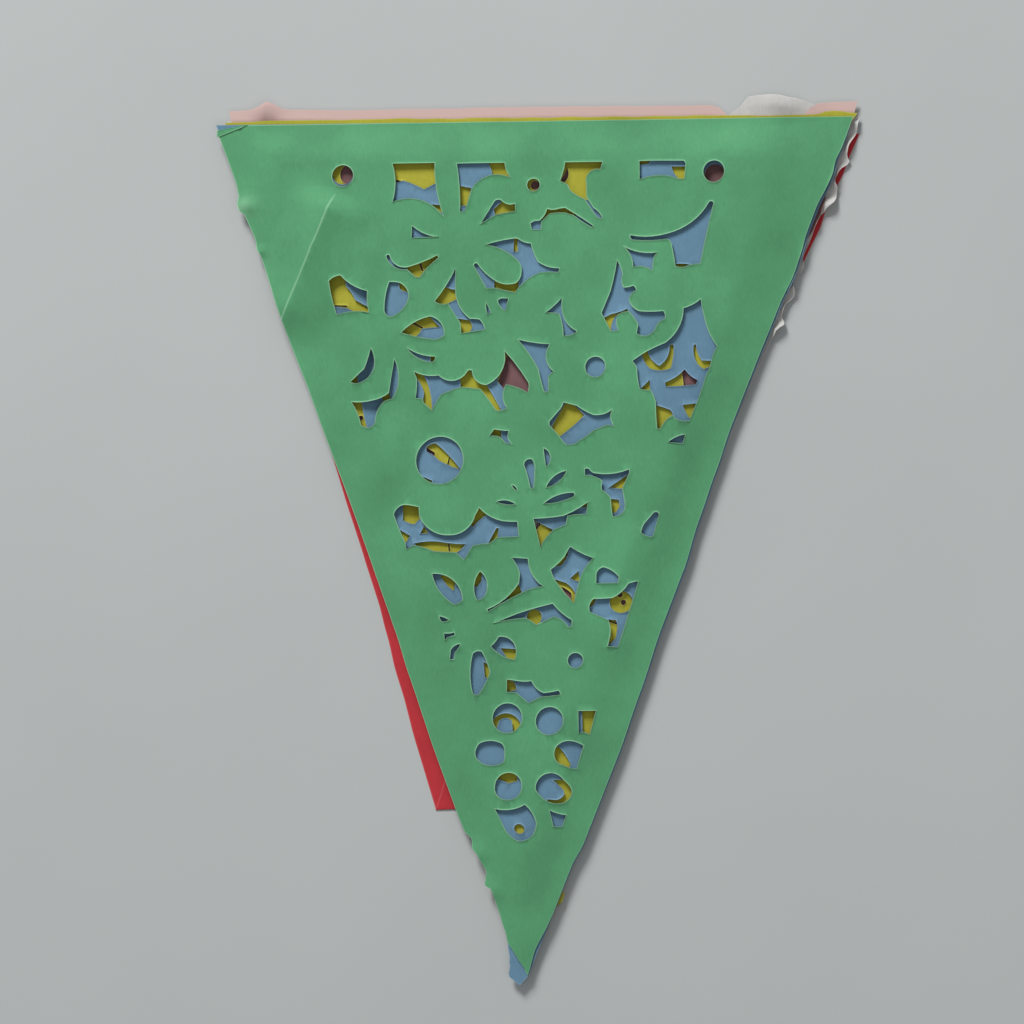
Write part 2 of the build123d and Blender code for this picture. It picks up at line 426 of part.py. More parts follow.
yellow_cuts = {
    "left_nick": [(-44.8, -18.2, 0), (-41.8, -19.1, 0), (-42.0, -19.9, 0), (-45.0, -19.2, 0)],
    "right_nick": [(11.1, -15.0, 0.4), (11.5, -18.2, 0.3), (9.4, -20.2, 0), (9.4, -18.4, -0.2)],
    "smile_nick": [(-36.8, -45.5, 0), (-36.0, -45.6, 0), (-35.1, -48.2, 0), (-35.9, -48.2, 0)],
    "banner_nick": [(-64.5, -58.9, 0), (-60.2, -59.1, 0), (-60.2, -59.7, 0), (-64.5, -59.5, 0)],
    "eye_nick": [(-38.3, -64.6, 0), (-34.8, -66.6, 0), (-35.1, -67.1, 0), (-38.5, -65.3, 0)],
    "pear": [
        (-7.0, -75.0, 0.4), (4.0, -80.0, 0.8), (3.0, -91.5, 0), (-8.6, -87.4, 0), (-9.9, -83.9, 0),
    ],
    "bell_wing": [
        (50.3, -79.5, 0), (57.5, -82.5, 0.3), (56.8, -88.0, 0), (51.2, -87.5, 0), (50.9, -85.0, 0.2),
    ],
    "round_wing": [
        (-36.5, -104.4, 0.4), (-30.2, -107.2, 0.2), (-31.0, -108.8, 0.2), (-36.5, -107.6, 0.4),
    ],
    "round_nick": [(-25.7, -108.7, 0), (-25.2, -108.8, 0), (-25.8, -111.8, 0), (-26.3, -111.7, 0)],
    "cradle_nick": [(-25.3, -136.8, 0), (-24.7, -136.8, 0), (-24.4, -139.4, 0), (-25.0, -139.4, 0)],
    "tail_wing": [(-1.5, -127.6, 0), (5.2, -130.6, 0.1), (3.2, -133.3, 0), (-1.0, -135.0, 0)],
    "bird_nick": [(12.9, -139.4, 0), (14.4, -141.0, 0), (14.0, -141.5, 0), (12.5, -139.9, 0)],
    "bird_wing": [(11.9, -150.8, 0.2), (15.3, -153.0, 0.1), (15.5, -155.4, 0), (13.4, -153.4, 0)],
    "boot_nick": [(26.6, -161.2, 0), (30.6, -162.8, 0), (30.3, -163.4, 0), (26.4, -161.8, 0)],
    "low_leaf_left": [(-2.0, -238.0, 1.6), (-5.0, -247.0, 1.6)],
    "low_leaf_right": [(5.0, -247.0, 1.6), (2.0, -238.0, 1.6)],
}
yellow_rounds = [
    (0.8, -20.6, 1.5), (-55.0, -95.7, 0.8), (31.3, -153.7, 0.9), (32.5, -156.2, 0.9), (0.0, -254.0, 1.8),
]
yellow_flowers = [(-74.0, -33.0), (74.0, -33.0), (-47.0, -111.0), (48.0, -116.0)]
flower_petals = 6
petal_reach = 6.5  # from the flower's centre to a petal's end
petal_start = 1.8  # from the flower's centre to a petal's root
petal_bow = 1.2


def place(x, y, shift, side):
    """A point of the drawn pattern on the real sheet. A side of -1 is a sheet that lies turned over."""
    shift_x, shift_y = shift
    return (side * (x * sheet_width / drawn_width + shift_x), y * sheet_height / drawn_height + shift_y)


def cut_wire(points, shift, side):
    """The closed outline through the points, with an arc wherever the edge has a bow."""
    edges = []
    for (x, y, bow), (next_x, next_y, _) in zip(points, points[1:] + points[:1]):
        start = place(x, y, shift, side)
        end = place(next_x, next_y, shift, side)
        if bow == 0:
            edges.append(Line(start, end))
        else:
            length = hypot(next_x - x, next_y - y)
            middle_x = (x + next_x) / 2 - bow * (next_y - y) / length
            middle_y = (y + next_y) / 2 + bow * (next_x - x) / length
            edges.append(ThreePointArc(start, place(middle_x, middle_y, shift, side), end))
    return Wire(edges)


def round_wire(x, y, radius, shift, side):
    """A round cut of the pattern."""
    return Wire.make_circle(radius, Plane(origin=place(x, y, shift, side)))


def flower_petal(x, y, turn):
    """The points of one petal of a flower: a leaf shape that points away from the centre."""
    along_x = cos(radians(turn))
    along_y = sin(radians(turn))
    return [
        (x + petal_start * along_x, y + petal_start * along_y, petal_bow),
        (x + petal_reach * along_x, y + petal_reach * along_y, petal_bow),
    ]


def string_holes(punch):
    """The two round holes for the string. The punch's two shifts move them with no stretch."""
    shift_x, shift_y, right_drop, closer = punch
    half_spacing = (string_hole_spacing - closer) / 2
    left = round_wire(-half_spacing, -string_hole_drop, string_hole_radius, (shift_x, shift_y), 1)
    right_shift = (shift_x, shift_y - right_drop)
    right = round_wire(half_spacing, -string_hole_drop, string_hole_radius, right_shift, 1)
    return [left, right]


def sheet_face(cuts, rounds, shift, punch, side=1):
    """A flat sheet with its cuts. Its origin is the middle of the top edge, and its tip points to -Y."""
    outline = Wire.make_polygon([(-sheet_width / 2, 0), (sheet_width / 2, 0), (0, -sheet_height)])
    holes = string_holes(punch)
    holes += [cut_wire(points, shift, side) for points in cuts]
    holes += [round_wire(x, y, radius, shift, side) for x, y, radius in rounds]
    return Face(outline, holes)


def flat_sheet(face):
    """A sheet that isn't folded, with its lower side at z = 0."""
    return extrude(face, amount=paper_thickness, dir=(0, 0, 1))


def folded_sheet(face, fold_point, fold_direction):
    """A sheet folded over onto its upper side. What lies to the right of the fold's direction is folded."""
    outward = Vector(fold_direction[1], -fold_direction[0], 0).normalized()
    fold_plane = Plane(origin=(*fold_point, 0), z_dir=outward)
    kept = split(face, bisect_by=fold_plane, keep=Keep.BOTTOM)
    turned = mirror(split(face, bisect_by=fold_plane, keep=Keep.TOP), about=fold_plane)
    bend_height = paper_thickness + fold_radius
    outer_radius = fold_radius + paper_thickness
    solids = [extrude(kept, amount=paper_thickness, dir=(0, 0, 1))]
    flap = extrude(turned, amount=paper_thickness, dir=(0, 0, 1))
    solids.append(Pos(0, 0, bend_height + fold_radius) * flap)
    for edge in kept.edges():
        if abs(fold_plane.to_local_coords(edge.center()).Z) > 0.001:
            continue
        along = edge.end_point() - edge.start_point()
        bend_plane = Plane(origin=edge.start_point() + Vector(0, 0, bend_height), x_dir=outward, z_dir=along)
        bend = Wire(
            [
                ThreePointArc((0, -outer_radius), (outer_radius, 0), (0, outer_radius)),
                Line((0, outer_radius), (0, fold_radius)),
                ThreePointArc((0, fold_radius), (fold_radius, 0), (0, -fold_radius)),
                Line((0, -fold_radius), (0, -outer_radius)),
            ]
        )
        solids.append(extrude(bend_plane * Face(bend), amount=along.length, dir=along))
    return solids[0].fuse(*solids[1:])


def green_sheet():
    """The top sheet. Its left top corner is folded over."""
    face = sheet_face(green_cuts.values(), green_rounds, green_shift, green_punch)
    side_length = hypot(sheet_width / 2, sheet_height)
    along_x = sheet_width / 2 / side_length
    along_y = -sheet_height / side_length
    on_top = Vector(-sheet_width / 2 + green_corner_along_top, 0)
    on_side = Vector(
        -sheet_width / 2 + green_corner_down_side * along_x,
        green_corner_down_side * along_y,
    )
    direction = on_top - on_side
    # The corner lies to the left of this direction, so the fold is taken the other way round.
    return folded_sheet(face, (on_top.X, on_top.Y), (-direction.X, -direction.Y))


def blue_sheet():
    """The second sheet."""
    return flat_sheet(sheet_face(blue_cuts.values(), blue_rounds, blue_shift, blue_punch))


def yellow_pattern():
    """The yellow sheet's cuts, with its flowers."""
    petals = [
        flower_petal(x, y, 360 / flower_petals * number)
        for x, y in yellow_flowers
        for number in range(flower_petals)
    ]
    return list(yellow_cuts.values()) + petals


def yellow_sheet():
    """The third sheet."""
    return flat_sheet(sheet_face(yellow_pattern(), yellow_rounds, yellow_shift, yellow_punch))


def pink_sheet():
    """The fourth sheet: the yellow sheet's pattern, turned over, without its widest cut."""
    cuts = [points for points in yellow_pattern() if points is not yellow_cuts["pear"]]
    return flat_sheet(sheet_face(cuts, yellow_rounds, yellow_shift, pink_punch, side=-1))


def white_sheet():
    """The fifth sheet: the blue sheet's pattern, turned over."""
    return flat_sheet(sheet_face(blue_cuts.values(), blue_rounds, blue_shift, white_punch, side=-1))


def red_sheet():
    """The bottom sheet: the green sheet's pattern, turned over, with the tip folded up behind the stack."""
    face = sheet_face(green_cuts.values(), green_rounds, green_shift, red_punch, side=-1)
    slant = radians(red_fold_slant)
    fold_middle = (0, red_tip_fold - sheet_height)
    return folded_sheet(face, fold_middle, (cos(slant), sin(slant)))


def lay(sheet, sheet_place, height):
    """Turn a sheet and lay it where it lies in the stack, with its lower side at the given height."""
    x, y, turn = sheet_place
    return Pos(x, y, height) * Rot(0, 0, -turn) * sheet


# From the bottom of the stack to the top
sheets = {
    "pennant_red": (red_sheet, red_place),
    "pennant_white": (white_sheet, white_place),
    "pennant_pink": (pink_sheet, pink_place),
    "pennant_yellow": (yellow_sheet, yellow_place),
    "pennant_blue": (blue_sheet, blue_place),
    "pennant_green": (green_sheet, green_place),
}

stack = {}
height = 0.0
for name, (make_sheet, sheet_place) in sheets.items():
    stack[name] = lay(make_sheet(), sheet_place, height)
    height = stack[name].bounding_box().max.Z + sheet_gap

stack_centre = Compound(list(stack.values())).bounding_box().center()

os.makedirs("parts", exist_ok=True)
for name, sheet in stack.items():
    sheet = Pos(-stack_centre.X, -stack_centre.Y, 0) * sheet
    export_step(sheet, f"parts/{name}.step")
    print(name, round(sheet.volume, 2), "mm3", sheet.bounding_box().size)
print("the stack's own origin moved by", round(-stack_centre.X, 3), round(-stack_centre.Y, 3))
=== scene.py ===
# %% [markdown]
# # A stack of papel picado pennants
# A papel picado banner is a row of thin coloured papers with patterns cut through them. This one is still
# stacked: six triangular pennants lie one on another, green on top, then blue, yellow, pink, white and red.
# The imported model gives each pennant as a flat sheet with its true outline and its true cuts. The lesson
# turns each flat sheet into paper: thin, gently waved, with curled cut edges, creases and crumpled borders.

from math import atan2, cos, exp, hypot, pi, radians, sin

import bmesh
import bpy
from mathutils import Matrix, Vector, noise


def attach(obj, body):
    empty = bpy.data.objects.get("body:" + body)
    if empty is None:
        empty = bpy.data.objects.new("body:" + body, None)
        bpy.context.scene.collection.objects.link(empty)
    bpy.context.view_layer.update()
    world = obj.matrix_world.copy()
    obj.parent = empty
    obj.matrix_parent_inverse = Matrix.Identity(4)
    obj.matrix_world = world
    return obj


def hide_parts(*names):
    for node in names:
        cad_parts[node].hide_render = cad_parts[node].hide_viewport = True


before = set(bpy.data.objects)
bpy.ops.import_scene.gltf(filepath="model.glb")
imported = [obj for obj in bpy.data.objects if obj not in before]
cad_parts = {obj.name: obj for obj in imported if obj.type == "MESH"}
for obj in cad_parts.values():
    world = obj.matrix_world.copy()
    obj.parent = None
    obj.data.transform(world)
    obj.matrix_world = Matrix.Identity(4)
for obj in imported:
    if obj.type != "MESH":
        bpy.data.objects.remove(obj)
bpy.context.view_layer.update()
mm = 0.001
print("pennants:", sorted(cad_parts))

# %% [markdown]
# ## Where the sheets are
# Every shape below is placed in a pennant's own terms: u is how far across from the middle of its top edge,
# and v how far down from that edge, both in mm. They come from the sheet's own corners, so a turned sheet is
# measured along its own edges. The green sheet has its top left corner folded over, so only its right corner
# is used.

# %% Measure each sheet
SHEET_WIDTH = 210 * mm
SHEET_HEIGHT = 280 * mm
PAPER_THICKNESS = 0.1 * mm
CORNER_LOSS = 0.2 * mm  # a top edge shorter than the sheet's width by more than this has a folded corner
STACK = ["red", "white", "pink", "yellow", "blue", "green"]  # from the bottom up


class SheetPlace:
    """The middle of a sheet's top edge, and its turn."""

    def __init__(self, node):
        corners = [vertex.co for vertex in node.data.vertices]
        left = min(corners, key=lambda co: co.x)
        right = max(corners, key=lambda co: co.x)
        whole = (right - left).xy.length > SHEET_WIDTH - CORNER_LOSS
        self.turn = atan2(right.y - left.y, right.x - left.x) if whole else 0.0
        self.across = Vector((cos(self.turn), sin(self.turn)))
        self.down = Vector((sin(self.turn), -cos(self.turn)))
        self.middle = right.xy - self.across * SHEET_WIDTH / 2

    def local(self, x, y):
        """How far across and down a point lies, in mm."""
        offset = Vector((x, y)) - self.middle
        return offset.dot(self.across) / mm, offset.dot(self.down) / mm


def half_width(v):
    """Half the width of a flat sheet, v down from its top edge, in mm."""
    return SHEET_WIDTH / mm / 2 * (1 - v * mm / SHEET_HEIGHT)


places = {colour: SheetPlace(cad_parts["pennant_" + colour]) for colour in STACK}
for colour in STACK:
    place = places[colour]
    print(colour, "top middle", [round(v / mm, 2) for v in place.middle], "turn", round(place.turn, 4))

# %% [markdown]
# ## Smooth steps, humps and bent edges
# A crumpled border is described by a few stations along it, each with how far the paper is pushed out there.
# Between stations the push follows a smooth step, which has no corners. A hump is a soft round hill, and a
# ridge is a hill along a line, with a crisp top where the paper was creased.


# %% Helpers for soft shapes
def smooth(t):
    """0 up to t = 0 and 1 from t = 1, with a soft slope between them."""
    t = min(1.0, max(0.0, t))
    return t * t * (3 - 2 * t)


def along(stations, position):
    """The value at a position, from (position, value) stations in order."""
    if position <= stations[0][0]:
        return stations[0][1]
    for (start, first), (end, second) in zip(stations, stations[1:]):
        if position <= end:
            return first + (second - first) * smooth((position - start) / (end - start))
    return stations[-1][1]


def hump(x, y, centre, width, length):
    """1 at the centre, falling away softly on all sides."""
    return exp(-(((x - centre[0]) / width) ** 2) - ((y - centre[1]) / length) ** 2)


def ridge(x, y, start, end, reach):
    """1 on the line from start to end, falling to 0 at reach on both sides, and fading at the ends."""
    run = Vector(end) - Vector(start)
    offset = Vector((x, y)) - Vector(start)
    share = offset.dot(run) / run.length_squared
    distance = abs(offset.x * run.y - offset.y * run.x) / run.length
    fade = smooth(share / 0.15) * smooth((1 - share) / 0.25)
    return max(0.0, 1 - distance / reach) * fade


def wave(x, y, across, down, seed):
    """Slow uneven waves from -1 to 1, with that many mm between crests across and down the sheet."""
    return noise.noise(Vector((x / across, y / down, seed)))


print("half way up a smooth step:", smooth(0.5))

# %% [markdown]
# ## How the borders stray
# Thin paper never stays a perfect triangle. The green sheet's left border is crumpled near the top and
# nicked near the tip, and its tip leans to the right. The white sheet is ruffled along its right border and
# pushed up at the top, and the red one is gathered in there, so patches of both show past the green.
# Each border has its own stations: how far down the sheet, or across it for a top edge, and how far the
# paper is pushed to the right, or up for a top edge, in mm.

# %% Border stations
GREEN_LEFT = [
    (0, -0.4), (19, -0.2), (23, -0.7), (26.5, -2.3), (28.4, -2.3), (29.8, -1.0), (38, -0.4), (41, -1.0),
    (43, -0.5), (70, -0.9), (90, -0.3), (130, 0.3), (165, 0.2), (180, -0.4), (204, -0.8), (226, -0.6),
    (230, -0.3), (233, 1.2), (236, 0.4), (238, 1.3), (243.5, 2.2), (245.5, 1.2), (247.7, 0.1),
    (249.5, 1.9), (256, 1.7), (263, 1.2), (268, 0.4), (272, 1.0), (280, 2.4),
]
GREEN_RIGHT = [
    (0, -1.0), (10, -0.8), (14, -1.2), (19, -0.4), (30, -1.5), (38, -1.4), (45, -0.7), (52, -0.4),
    (60, -1.3), (80, -1.6), (100, -1.7), (115, -1.0), (130, -0.4), (147, 0.9), (165, 1.0), (185, 2.1),
    (205, 2.9), (234, 2.8), (242, 1.7), (256, 1.6), (270, 1.2), (280, 2.4),
]
BLUE_LEFT = [
    (0, -0.7), (8, 0.0), (150, 0.6), (226, 0.6), (233, 2.0), (256, 2.2), (264, 1.4), (270, 0.2),
    (273, -0.8), (277, -2.4), (280, -1.0),
]
BLUE_RIGHT = [
    (0, -1.9), (8, -1.1), (14, -1.2), (19, -0.4), (30, -1.4), (38, -1.3), (45, -0.6), (52, -0.3),
    (60, -1.2), (80, -1.5), (100, -1.6), (115, -0.9), (130, -0.2), (147, 1.2), (165, 1.3), (185, 2.4),
    (205, 3.2), (234, 3.1), (242, 2.0), (256, 1.8), (270, 1.5), (276, 1.6), (280, 1.0),
]
YELLOW_LEFT = [(0, 2.0), (10, 0.6), (226, 0.6), (234, 1.5), (262, 1.2), (280, 0.6)]
YELLOW_RIGHT = [
    (0, -0.6), (2, -1.6), (8, -2.2), (120, -2.2), (150, -0.6), (235, 1.2), (249.5, 1.0), (252, 3.4),
    (254.5, 3.3), (256.5, 1.0), (263, 1.0), (264.5, 2.7), (266, 0.8), (280, 0.4),
]
YELLOW_TOP = [(-105, -0.4), (-84, 0.2), (59, 0.1), (73, -0.2), (91, -0.1), (96, 1.0), (100, 0.9), (104, 0.1)]
PINK_LEFT = [(0, 2.0), (10, 0.4), (280, 0.4)]
PINK_RIGHT = [
    (0, -1.8), (6, -1.2), (12, -0.9), (28, -0.9), (33, 0.5), (39, 0.4), (45, -1.0), (60, -1.2), (90, -1.8),
    (120, -1.2), (150, 0.0), (280, 0.0),
]
PINK_TOP = [
    (-105, 0.0), (-98.5, 0.1), (-95, 1.2), (-91, 3.2), (-88.5, 1.6), (-86, 0.3), (-60, -0.2), (0, 0.2),
    (57, 0.0), (61, -3.4), (87, -3.6), (91, 0.2), (101, 0.6),
]
WHITE_LEFT = [(0, 2.8), (10, 1.0), (200, 0.6), (226, 1.2), (234, 3.0), (262, 3.0), (280, 2.4)]
WHITE_RIGHT = [
    (0, 0.3), (5, 1.2), (9, 0.6), (12, 1.1), (14.5, 2.8), (17, 0.5), (20, 0.4), (23, 2.3), (27, 3.2),
    (30, 1.4), (32, 0.1), (45, 0.0), (48.5, 1.5), (53, 0.3), (57.5, 2.2), (61, 0.3), (64, 0.6), (67, 2.6),
    (69, 0.8), (74, 0.2), (90, -0.4), (120, -0.4), (150, 0.0), (280, 0.0),
]
WHITE_TOP = [(61, 0.0), (64, 2.0), (69.5, 7.3), (77, 7.8), (84, 6.4), (91, 4.4), (94, 1.0), (98, 0.0)]
RED_LEFT = [
    (0, 2.6), (10, 1.0), (40, 0.0), (90, 0.6), (108, 1.3), (123, 1.3), (142, 1.7), (158, 2.0), (168, 1.6),
    (180, 0.9), (187, 1.0), (200, 0.5), (222, 0.5),
]
RED_RIGHT = [
    (0, -1.6), (7, -1.6), (13, -1.1), (22, -1.9), (31, -0.9), (42, -1.3), (52, -2.6), (70, -3.6),
    (90, -2.9), (110, -1.5), (130, -0.6), (150, 0.0),
]
FLAT = [(0, 0.0)]
BORDERS = {
    "green": (GREEN_LEFT, GREEN_RIGHT, FLAT),
    "blue": (BLUE_LEFT, BLUE_RIGHT, FLAT),
    "yellow": (YELLOW_LEFT, YELLOW_RIGHT, YELLOW_TOP),
    "pink": (PINK_LEFT, PINK_RIGHT, PINK_TOP),
    "white": (WHITE_LEFT, WHITE_RIGHT, WHITE_TOP),
    "red": (RED_LEFT, RED_RIGHT, FLAT),
}
BORDER_SHARE = 0.62  # a push on a side border is felt outside this share of the sheet's half width
LAST_CUT = 218.0  # mm down the sheet: below it the tip has no cuts, so all of it can lean
LEAN_AHEAD = 6  # mm above the last cut where the lean sets in
TIP_BLEND = 14.0  # mm over which it reaches the whole tip
TOP_BAND = 12.0  # mm below the top edge that follow a push on it
TOP_FRAY_BAND = 5.0  # mm below the top edge that follow its small uneven waves
# The sheets have also slid on each other, across and up, in mm.
SLIDE = {
    "green": (0.0, 0.0), "blue": (-0.15, 0.1), "yellow": (-0.3, 0.2), "pink": (-0.45, 0.3),
    "white": (-0.6, 0.4), "red": (-0.75, 0.5),
}
# A crumpled tip is drawn up the sheet by this much, in mm, from TIP_START down to the tip itself.
TIP_RISE = {"green": 3.4, "blue": 0.3, "yellow": 5.5, "pink": 3.0, "white": 5.5, "red": 0.0}
TIP_START = 256
TIP_LENGTH = 24
# How uneven each sheet's borders are, in mm
FRAY = {"yellow": 0.3, "pink": 0.15, "white": 0.2, "blue": 0.06, "green": 0.05, "red": 0.06}


def border_push(colour, u, v):
    """How far a point u across and v down a sheet moves across and up, in mm."""
    left, right, top = BORDERS[colour]
    share = u / max(1.0, half_width(v))
    tip = smooth((v - LAST_CUT + LEAN_AHEAD) / TIP_BLEND)
    inner = BORDER_SHARE * (1 - tip) - tip
    to_right = smooth((share - inner) / (1 - inner))
    to_left = smooth((-share - inner) / (1 - inner))
    fray = FRAY[colour] * noise.noise(Vector((v / 6, u / 40, 3.7)))
    push = (along(right, v) + fray) * to_right + (along(left, v) + fray) * to_left
    rise = along(top, u) * smooth(1 - v / TOP_BAND)
    rise += FRAY[colour] * noise.noise(Vector((u / 7, 0.5, 9.1))) * smooth(1 - v / TOP_FRAY_BAND)
    rise += TIP_RISE[colour] * smooth((v - TIP_START) / TIP_LENGTH)
    slide_across, slide_up = SLIDE[colour]
    return push + slide_across, rise + slide_up


print("the green tip leans by", border_push("green", 0.0, 270.0)[0], "mm")

# %% [markdown]
# ## How the paper waves
# The sheets lie loose, so air lifts each one off the next. The air under each sheet is written as a function
# that is never below nothing, and a sheet's height is the sum of the air under it and under all the sheets
# below. That keeps the sheets in order, though in the steep short waves of the ruffle the faces of the white
# and the pink sheet still cross at a few places. The waves run down the sheet, as those of paper that was
# rolled or hung do, and they settle towards the borders, where the sheets lie close. A few creases and dents
# in the top sheet are added one by one.

# %% Air under each sheet
AIR = {"red": 0.05, "white": 0.05, "pink": 0.06, "yellow": 0.10, "blue": 0.10, "green": 0.15}  # mm
LEAST_AIR = 0.05  # mm
WAVES = {"red": 2.4, "white": 0.15, "pink": 0.15, "yellow": 0.25, "blue": 0.3, "green": 0.5}  # mm
SETTLING = 20  # mm from a side border in which the waves die away
TOP_SETTLING = 16  # mm from the top edge in which they do
MIDLINE_ROUNDING = 5  # mm: keeps the settling from leaving a ridge down the middle of the tip
SEEDS = {"red": 2.3, "white": 5.1, "pink": 8.9, "yellow": 12.7, "blue": 17.2, "green": 21.6}


# The creases and dents of the top sheet, in mm and in its own u and v
CREASE = ((-64, 22), (-84, 72))  # the sharpest crease, from its start to its end
GREEN_CREASES = [  # height, start, end and reach to each side
    (3.3, *CREASE, 14),
    (1.5, (-58, 30), (-46, 128), 9),
    (1.2, (-44, 92), (-31, 168), 8),
    (0.9, (-86, 2), (-80, 50), 8),
    (0.8, (58, 4), (84, 44), 18),
]
NICK = (-94, 27)  # where the crumpled left border is pushed up most, and drawn paler
GREEN_DENTS = [  # height, centre, width and length
    (0.9, (82, 22), 16, 18),
    (0.9, NICK, 3.0, 2.6),
    (0.7, (-90, 42), 2.5, 1.6),
    (0.9, (-14, 238), 2.6, 4.0),
    (0.8, (-9, 250), 2.6, 3.4),
    (0.5, (6, 236), 7, 9),
]

# The ruffle of the white sheet's right border, in mm
RUFFLE_HEIGHT = 1.5
RUFFLE_LENGTH = 82  # down the border from the top corner
RUFFLE_WIDTH = 2.6
RUFFLE_WAVE = 8.5  # from crest to crest


def green_creases(u, v):
    """Folds and dents that only the top sheet has, in mm."""
    lift = 0.0
    for top, start, end, reach in GREEN_CREASES:
        lift += top * ridge(u, v, start, end, reach)
    for top, dent_centre, width, length in GREEN_DENTS:
        lift += top * hump(u, v, dent_centre, width, length)
    return lift


def ruffle(u, v):
    """Small waves along the white sheet's right border, outside the sheets on top, in mm."""
    out = smooth((u - half_width(v) + 1.2) / RUFFLE_WIDTH) * smooth(v / 4) * smooth((RUFFLE_LENGTH - v) / 12)
    return out * RUFFLE_HEIGHT * (1 + sin(v * 2 * pi / RUFFLE_WAVE + 1.1 * sin(v / 5))) / 2


def settled(u, v):
    """0 at the stack's borders, where the sheets lie close, and 1 inside."""
    from_side = half_width(v) - hypot(u, MIDLINE_ROUNDING)
    return smooth(from_side / SETTLING) * smooth((v + 2) / TOP_SETTLING)


def air_under(colour, x, y):
    """The air between a sheet and the one below it at a point of the table, in mm. Never below zero."""
    u, v = places["green"].local(x, y)
    air = AIR[colour]
    seed = SEEDS[colour]
    # Long waves down the sheet, broad swells, and small ripples on both
    swell = 0.5 + 0.62 * wave(u, v, 21, 95, seed) + 0.35 * wave(u, v, 60, 60, seed + 4)
    swell += 0.06 * wave(u, v, 7, 16, seed + 7)
    air += WAVES[colour] * swell * settled(u, v)
    if colour == "green":
        air += green_creases(u, v)
    # What shows past the sheets on top: the ruffle and a hump, a small peak, and a wavy top edge
    if colour == "white":
        air += ruffle(u, v)
        air += 1.6 * hump(u, v, (80, -5), 9, 4)
    if colour == "pink":
        air += 1.3 * hump(u, v, (-89, -6), 4, 4)
    if colour == "yellow":
        air += 0.1 * smooth((1.5 - v) / 3) * (1 + sin(u / 4.2 + 2 * sin(u / 17)))
    return max(LEAST_AIR, air)


def height(colour, x, y):
    """How far the sheet is lifted above its flat place at a point of the table, in metres."""
    below = STACK[: STACK.index(colour) + 1]
    return sum(air_under(other, x, y) for other in below) * mm


centre = places["green"].middle
print("lift near the string holes:", [round(height(c, centre.x, centre.y - 20 * mm) / mm, 2) for c in STACK])

# %% [markdown]
# ## From a flat solid to a sheet of paper
# A pennant's node is a closed solid 0.1 mm thick, cut into long thin triangles. Its mesh is copied, and
# doubled points are merged. Only the upper skin is kept: starting from a face that looks up, every face
# that joins it without a sharp edge belongs to it, round a fold too. Then the skin gets a narrow rim along
# every cut. Where the rim's inset turned a thin triangle over, the triangle is joined to its neighbour and
# the two are cut anew, or it would show as a dark crack. Last come slices in both directions, so that the
# skin can bend, and its thickness.
# A remesh would be quicker to write, but it would blur the cuts, which are what this object is about.

# %% Copy one skin of a sheet
SHARP = radians(50)  # faces that meet at more than this are different sides of the paper
SAME_POINT = 0.004 * mm
NO_LENGTH = 0.002 * mm
SLIVER = 0.02 * mm  # a triangle less high than half of this is a sliver, and points this close are level
GRID = 2.6 * mm  # between the slices that let a sheet bend
SLICE_REACH = 0.001 * mm  # points this close to a slice lie on it
RIM_WIDTH = 0.44 * mm
MENDING_ROUNDS = 3
LIP = 0.26 * mm  # how far the edge of a cut curls up
OUTLINE = 0.8  # mm from the sheet's outline that have no lip
FOLD_SHARE = 0.55  # how much of a fold's height is left once it is pressed down
FINE_STEP = 1.1  # mm between slices where a border is crumpled
# Where a border is crumpled, from and to, in mm down the sheet
FINE_BANDS = {"green": [(20, 46), (226, 272)], "white": [(2, 74)], "blue": [(266, 279)]}
CREASE_HALF_WIDTH = 0.45  # mm


def longest_edge(face):
    return max(face.edges, key=lambda edge: edge.calc_length())


def is_sliver(face):
    """True for a triangle with nearly no height, which would shade wrongly once the sheet bends."""
    return face.calc_area() < 0.5 * SLIVER * longest_edge(face).calc_length()


def join_over_longest_edge(bm, faces):
    """Each of the faces joined to its neighbour across its longest edge, unless that edge is a border."""
    long_edges = dict.fromkeys(longest_edge(face) for face in faces)  # each once, in the mesh's own order
    inner = [edge for edge in long_edges if not edge.is_boundary]
    bmesh.ops.dissolve_edges(bm, edges=inner, use_verts=False)


def upper_skin(node):
    """The upper skin of a pennant's solid, as an open bmesh."""
    bm = bmesh.new()
    bm.from_mesh(node.data)
    bmesh.ops.remove_doubles(bm, verts=bm.verts, dist=SAME_POINT)
    bmesh.ops.dissolve_degenerate(bm, edges=bm.edges, dist=NO_LENGTH)
    bm.normal_update()
    below_fold = min(vertex.co.z for vertex in bm.verts) + 1.5 * PAPER_THICKNESS
    flat = [face for face in bm.faces if face.normal.z > 0.99 and face.calc_center_median().z < below_fold]
    start = max(flat, key=lambda face: face.calc_area())
    kept = {start}
    waiting = [start]
    while waiting:
        face = waiting.pop()
        for edge in face.edges:
            for other in edge.link_faces:
                if other not in kept and face.normal.angle(other.normal, pi) < SHARP:
                    kept.add(other)
                    waiting.append(other)
    bmesh.ops.delete(bm, geom=[face for face in bm.faces if face not in kept], context="FACES")
    bmesh.ops.beautify_fill(bm, faces=bm.faces, edges=bm.edges, method="ANGLE")
    join_over_longest_edge(bm, [face for face in bm.faces if is_sliver(face)])
    return bm


